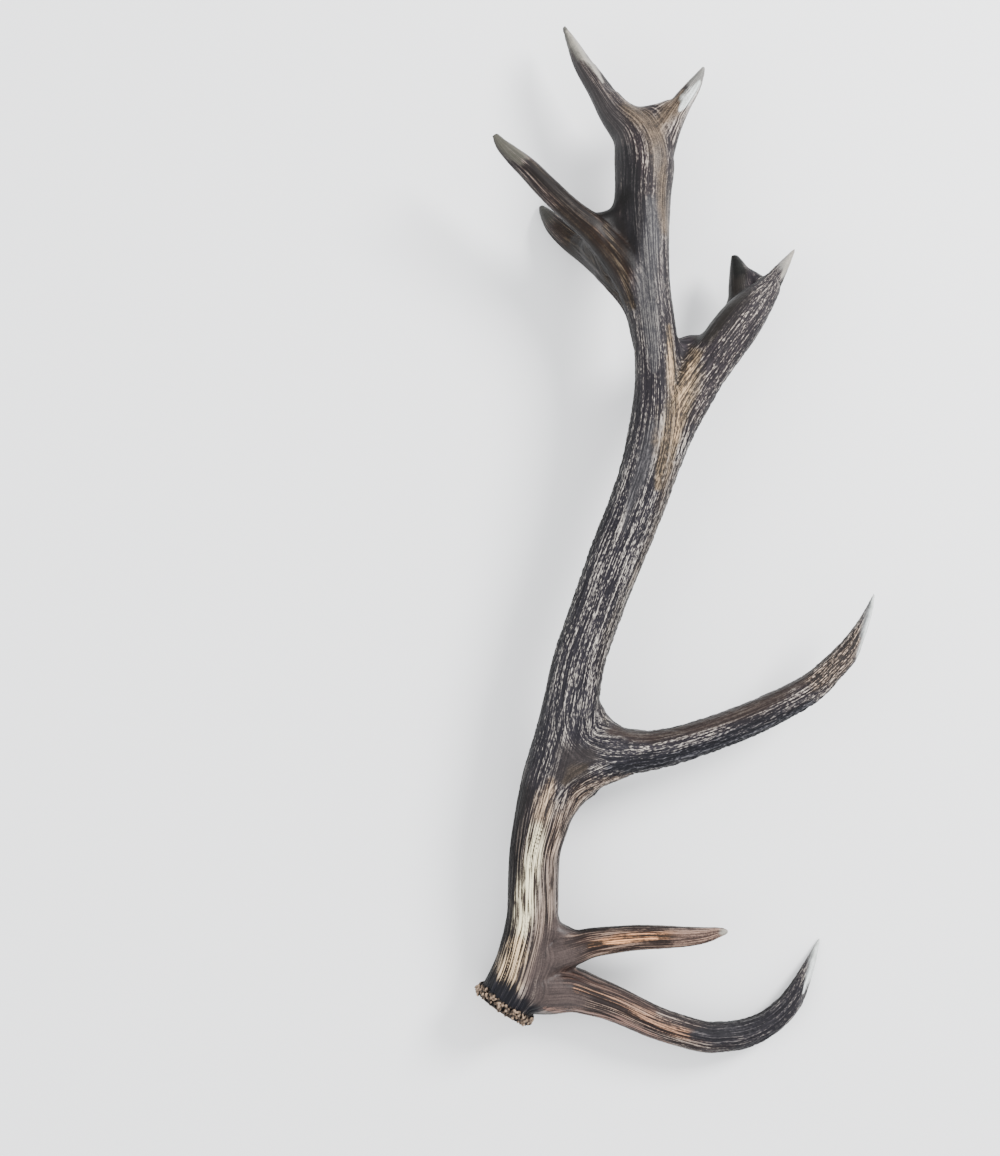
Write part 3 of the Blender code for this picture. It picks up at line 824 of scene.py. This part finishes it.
class Paint:
    """A socket in a material. Sums on it add Math nodes, and make() adds any other node."""

    def __init__(self, tree, socket=None):
        self.tree = tree
        self.socket = socket

    def make(self, kind, settings=None, inputs=None, output=0):
        node = self.tree.nodes.new(kind)
        for name, value in (settings or {}).items():
            setattr(node, name, value)
        for name, value in (inputs or {}).items():
            if isinstance(value, Paint):
                self.tree.links.new(value.socket, node.inputs[name])
            else:
                node.inputs[name].default_value = value
        return Paint(self.tree, node.outputs[output])

    def sum(self, operation, *values):
        return self.make("ShaderNodeMath", {"operation": operation}, dict(enumerate(values)))

    def __add__(self, other):
        return self.sum("ADD", self, other)

    def __sub__(self, other):
        return self.sum("SUBTRACT", self, other)

    def __rsub__(self, other):
        return self.sum("SUBTRACT", other, self)

    def __mul__(self, other):
        return self.sum("MULTIPLY", self, other)

    __radd__ = __add__
    __rmul__ = __mul__

    def rise(self, start, end):
        """0 up to start and 1 from end on, with a soft step between them."""
        return self.make(
            "ShaderNodeMapRange", {"interpolation_type": "SMOOTHSTEP"},
            {"Value": self, "From Min": start, "From Max": end},
        )

    def colour(self, under, over):
        """The colour under where the value is 0, and over where it is 1."""
        under, over = [tone if isinstance(tone, Paint) else (*tone, 1) for tone in (under, over)]
        return self.make("ShaderNodeMix", {"data_type": "RGBA"}, {0: self, 6: under, 7: over}, output=2)

    def tinted(self, tint, share):
        """The colour multiplied by the tint, as far as the share says."""
        settings = {"data_type": "RGBA", "blend_type": "MULTIPLY"}
        return self.make("ShaderNodeMix", settings, {0: share, 6: self, 7: (*tint, 1)}, output=2)


bone_finish, shader = new_material("antler_bone")
paint = Paint(bone_finish.node_tree)


def read(layer, output="Fac"):
    """A value kept on the mesh."""
    return paint.make("ShaderNodeAttribute", {"attribute_name": layer}, {}, output)


def grown(across, along, detail):
    """Noise drawn out along the grain of whichever limb the spot lies on."""
    found = None
    for layer in LAYERS:
        drawn = paint.make(
            "ShaderNodeMapping", {}, {"Vector": read(layer, "Vector"), "Scale": (across, across, along)}
        )
        speck = paint.make("ShaderNodeTexNoise", {}, {"Vector": drawn, "Scale": 1.0, "Detail": detail})
        found = speck if found is None else found + (speck - found) * read("share_" + layer)
    return found


here = paint.make("ShaderNodeTexCoord", {}, {}, "Object")
grit = paint.make("ShaderNodeTexNoise", {}, {"Vector": here, "Scale": GRIT_SCALE, "Detail": 2.0})
cloud = paint.make("ShaderNodeTexNoise", {}, {"Vector": here, "Scale": CLOUD_SCALE, "Detail": 3.0})
line = grown(*LINES)
dash = grown(*DASHES)
smooth_here = read("smooth")
beadiness = read("beadiness")
# Where there are beads, the lines turn into dashes and grow stronger. Where the skin is smooth, worn
# lines, clouds and grit take their place.
fine = line + (dash - line) * (beadiness * 0.72)
shape = read("pattern") * (0.45 - 0.30 * beadiness) + beadiness * 0.13
grown_level = shape + (fine - 0.5) * (1.7 + 0.9 * beadiness) + grit * 0.2 + 0.13
worn_level = (line - 0.5) * (1.9 - 1.85 * smooth_here) + cloud * 0.8 + grit * 0.7
worn_level = worn_level + grown_level * 0.2 - 0.35
level = grown_level + (worn_level - grown_level) * smooth_here
# What stands over the threshold is a pale crest. The lines between the crests are the darkest.
threshold = 1 - read("pale")
light = ((level - threshold) * (1 - smooth_here * 0.6)).rise(-0.13, 0.22)
tone = light.colour(read("ground", "Color"), read("crest", "Color"))
deep = (0.54 - line).rise(-0.07, 0.09) * (1 - light) * (1 - smooth_here * 0.6)
tone = tone.tinted(GROOVE_TINT, deep)
tone = cloud.rise(0.3, 0.75).colour(tone, tone.tinted(CLOUD_TINT, CLOUD_SHARE))
paint.tree.links.new(tone.socket, shader.inputs["Base Color"])
rough = 0.60 - light * 0.10 - smooth_here * 0.16
paint.tree.links.new(rough.socket, shader.inputs["Roughness"])
relief = (level * 0.8 + grit * 0.2) * (1 - smooth_here * 0.8)
bump = paint.make(
    "ShaderNodeBump", {}, {"Height": relief, "Strength": BUMP_STRENGTH, "Distance": BUMP_HEIGHT}, "Normal"
)
paint.tree.links.new(bump.socket, shader.inputs["Normal"])
shader.inputs["Specular IOR Level"].default_value = BONE_GLOSS
bone.data.materials.append(bone_finish)

# The skin is parted across its main forks, so that each tine is a piece of its own, with no step and
# no gap where it meets the beam. The last cut takes off the stub that stands out past the burr's seal.
# Each cut: a place on it, the way it faces in degrees, and how far it reaches.
BURR_HEADING = 237
CUTS = [
    ((70, 6, 35), 0, 40),
    ((70, 54, 44), 6, 28),
    ((104, 240, 62), 22, 45),
    ((59, 285, 66), 78, 60),
    ((122, 478, 80), 70, 60),
    ((199, 610, 74), 55, 50),
    ((93, 722, 66), 188, 56),
    ((129, 775, 70), 88, 38),
    ((153, 843, 68), 45, 29),
    ((0, 0, 32), BURR_HEADING, 45),
]
# Each piece: its name, the solid it stands for, and a place inside it.
PIECES = [
    ("lower_beam_skin", "lower_beam", (27, 148, 50)),
    ("brow_tine_skin", "brow_tine", (188, -36, 27)),
    ("bez_tine_skin", "bez_tine", (147, 64, 53)),
    ("trez_tine_skin", "trez_tine", (204, 263, 70)),
    ("upper_beam_skin", "upper_beam", (84, 376, 74)),
    ("crown_beam_skin", "upper_beam", (142, 600, 82)),
    ("top_beam_skin", "upper_beam", (130, 802, 68)),
    ("front_crown_skin", "front_crown_tine", (221, 650, 71)),
    ("rear_crown_skin", "rear_crown_tine", (37, 771, 91)),
    ("top_front_skin", "top_front_tine", (175, 867, 72)),
]
CUT_MERGE = 1e-7
whole = bmesh.new()
whole.from_mesh(bone.data)
cut_edges = []
for middle, heading, reach in CUTS:
    at = place(*middle)
    facing = Vector((math.cos(math.radians(heading)), math.sin(math.radians(heading)), 0))
    nearby = {}
    for face in whole.faces:
        if (face.verts[0].co - at).length_squared < (reach * MM) ** 2:
            nearby.update(dict.fromkeys([face, *face.verts, *face.edges]))
    cut = bmesh.ops.bisect_plane(whole, geom=list(nearby), dist=CUT_MERGE, plane_co=at, plane_no=facing)
    cut_edges += [part for part in cut["geom_cut"] if isinstance(part, bmesh.types.BMEdge)]
bmesh.ops.split_edges(whole, edges=cut_edges)
whole.to_mesh(bone.data)
whole.free()
bpy.ops.object.select_all(action="DESELECT")
bpy.context.view_layer.objects.active = bone
bone.select_set(True)
bpy.ops.object.mode_set(mode="EDIT")
bpy.ops.mesh.select_all(action="SELECT")
bpy.ops.mesh.separate(type="LOOSE")
bpy.ops.object.mode_set(mode="OBJECT")
loose = list(bpy.context.selected_objects)
# Each piece is shut flat at its cuts, and keeps the whole skin's normals, so that no cut shows.
for name, node, inside in PIECES:
    at = place(*inside)
    piece = min(loose, key=lambda obj: (obj.closest_point_on_mesh(at)[1] - at).length)
    loose.remove(piece)
    piece.name = name
    mesh = piece.data
    mesh.name = name
    shut = bmesh.new()
    shut.from_mesh(mesh)
    skin_faces = len(shut.faces)
    bmesh.ops.holes_fill(shut, edges=[edge for edge in shut.edges if edge.is_boundary], sides=0)
    shut.to_mesh(mesh)
    shut.free()
    mesh.shade_smooth()
    facing = np.empty(len(mesh.vertices) * 3, np.float32)
    mesh.attributes["skin_normal"].data.foreach_get("vector", facing)
    corners = np.empty(len(mesh.loops), np.int32)
    mesh.loops.foreach_get("vertex_index", corners)
    looks = facing.reshape(-1, 3)[corners]
    looks /= np.maximum(np.linalg.norm(looks, axis=1), 1e-9)[:, None]
    for face in mesh.polygons[skin_faces:]:
        looks[face.loop_start:face.loop_start + face.loop_total] = face.normal
    mesh.normals_split_custom_set(looks.tolist())
    mesh.attributes.remove(mesh.attributes["skin_normal"])
    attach(piece, "root")
    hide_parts(node)
for stub in loose:
    bpy.data.objects.remove(stub)

# The burr, the beaded ring of bone where the antler sat on the skull. Long beads crowd its rim, cream
# on their crests, round the flat rough seal where the antler came away, and between them the rim is
# painted black as shade. It grew as one piece with the beam.
BURR_TILT = 1.15
BURR_HEIGHT = 31.6
# The disc's edges and the rows of beads, in millimetres: how far towards the seal, how far out from
# the middle, and for a row how many beads it has.
BURR_DISC = [(-1.5, 28), (7.6, 28), (9.9, 26)]
DISC_SIDES = 96
BEAD_ROWS = [(0.6, 29.0, 50), (3.0, 30.0, 54), (5.4, 30.2, 54), (7.8, 29.0, 50)]
HALF_LENGTHS, HALF_WIDTHS = (1.5, 2.8), (1.1, 1.8)
RIM_CELL = 0.5 * MM
# Where the beads turn from the gaps' painted shade to their own colour, and where the seal begins.
CRESTS_OUT = (29.6, 32.0)
SEAL_ALONG = (9.3, 9.7)
GAP_SHADE_COLOUR = (42, 38, 38)
BEAD_COLOURS = [(88, 74, 66), (190, 175, 160)]
SEAL_COLOURS = [(116, 102, 92), (206, 195, 180)]
TINT_SCALE, SPECK_SCALE, PORE_SCALE = 330.0, 260.0, 1100.0
PORE_STRENGTH, PORE_DEPTH = 0.4, 0.0006
BURR_ROUGHNESS, BURR_GLOSS = 0.6, 0.2
chance = random.Random(8)
turned = Matrix.Rotation(math.radians(BURR_HEADING), 4, "Z")
turned = turned @ Matrix.Rotation(math.radians(90 - BURR_TILT), 4, "Y")
burr_frame = Matrix.Translation(place(0, 0, BURR_HEIGHT)) @ turned
parts = []
for (low, inner), (high, outer) in zip(BURR_DISC, BURR_DISC[1:]):
    disc = bmesh.new()
    bmesh.ops.create_cone(
        disc, cap_ends=True, segments=DISC_SIDES, radius1=inner * MM, radius2=outer * MM,
        depth=(high - low) * MM, matrix=burr_frame @ Matrix.Translation((0, 0, (low + high) / 2 * MM)),
    )
    parts.append(disc)
for offset, reach, number in BEAD_ROWS:
    for i in range(number):
        angle = 2 * math.pi * (i + chance.uniform(-0.3, 0.3)) / number
        lean = Matrix.Rotation(chance.gauss(0, 0.5), 4, "X")
        lean = lean @ Matrix.Rotation(chance.gauss(0.1, 0.25), 4, "Y")
        long, wide = chance.uniform(*HALF_LENGTHS), chance.uniform(*HALF_WIDTHS)
        out, along = reach + chance.uniform(-1.2, 1.6), offset + chance.uniform(-0.9, 0.9)
        spot = burr_frame @ Matrix.Rotation(angle, 4, "Z") @ Matrix.Translation((out * MM, 0, along * MM))
        bead = bmesh.new()
        bmesh.ops.create_uvsphere(
            bead, u_segments=12, v_segments=8, radius=MM,
            matrix=spot @ lean @ Matrix.Diagonal((wide, wide, long, 1)),
        )
        parts.append(bead)
burr = joined(parts, "burr")
rim = burr.modifiers.new("one_rim", "REMESH")
rim.mode = "VOXEL"
rim.voxel_size = RIM_CELL
ease = burr.modifiers.new("eased_rim", "SMOOTH")
ease.factor = 0.5
ease.iterations = 1
settle(burr)
burr.data.name = "burr"
burr.data.shade_smooth()
flat = np.empty(len(burr.data.vertices) * 3, np.float32)
burr.data.vertices.foreach_get("co", flat)
spots = flat.reshape(-1, 3)
spots[:, 2] = np.maximum(spots[:, 2], 0)
burr.data.vertices.foreach_set("co", spots.ravel())
burr.data.update()
back = np.array(burr_frame.inverted())
spots = (spots @ back[:3, :3].T + back[:3, 3]) / MM
keep(burr.data, "out", np.hypot(spots[:, 0], spots[:, 1]))
keep(burr.data, "along", spots[:, 2])

burr_finish, shader = new_material("burr_bone")
paint = Paint(burr_finish.node_tree)
here = paint.make("ShaderNodeTexCoord", {}, {}, "Object")
tint = paint.make("ShaderNodeTexNoise", {}, {"Vector": here, "Scale": TINT_SCALE, "Detail": 1.0})
speck = paint.make("ShaderNodeTexNoise", {}, {"Vector": here, "Scale": SPECK_SCALE, "Detail": 3.0})
pores = paint.make("ShaderNodeTexNoise", {}, {"Vector": here, "Scale": PORE_SCALE, "Detail": 2.0})
crests = (read("out") + speck * 3.0 - 1.5).rise(*CRESTS_OUT)
bead_tone = tint.rise(0.36, 0.64).colour(*map(shade, BEAD_COLOURS))
# Painted shade: inward of the bead crests the rim is near black.
rim_tone = crests.colour(shade(GAP_SHADE_COLOUR), bead_tone)
seal_tone = (pores * 0.5 + speck * 0.5).rise(0.38, 0.60).colour(*map(shade, SEAL_COLOURS))
tone = read("along").rise(*SEAL_ALONG).colour(rim_tone, seal_tone)
paint.tree.links.new(tone.socket, shader.inputs["Base Color"])
shader.inputs["Roughness"].default_value = BURR_ROUGHNESS
shader.inputs["Specular IOR Level"].default_value = BURR_GLOSS
bump = paint.make(
    "ShaderNodeBump", {}, {"Height": pores, "Strength": PORE_STRENGTH, "Distance": PORE_DEPTH}, "Normal"
)
paint.tree.links.new(bump.socket, shader.inputs["Normal"])
burr.data.materials.append(burr_finish)
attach(burr, "root")
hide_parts("lower_beam")
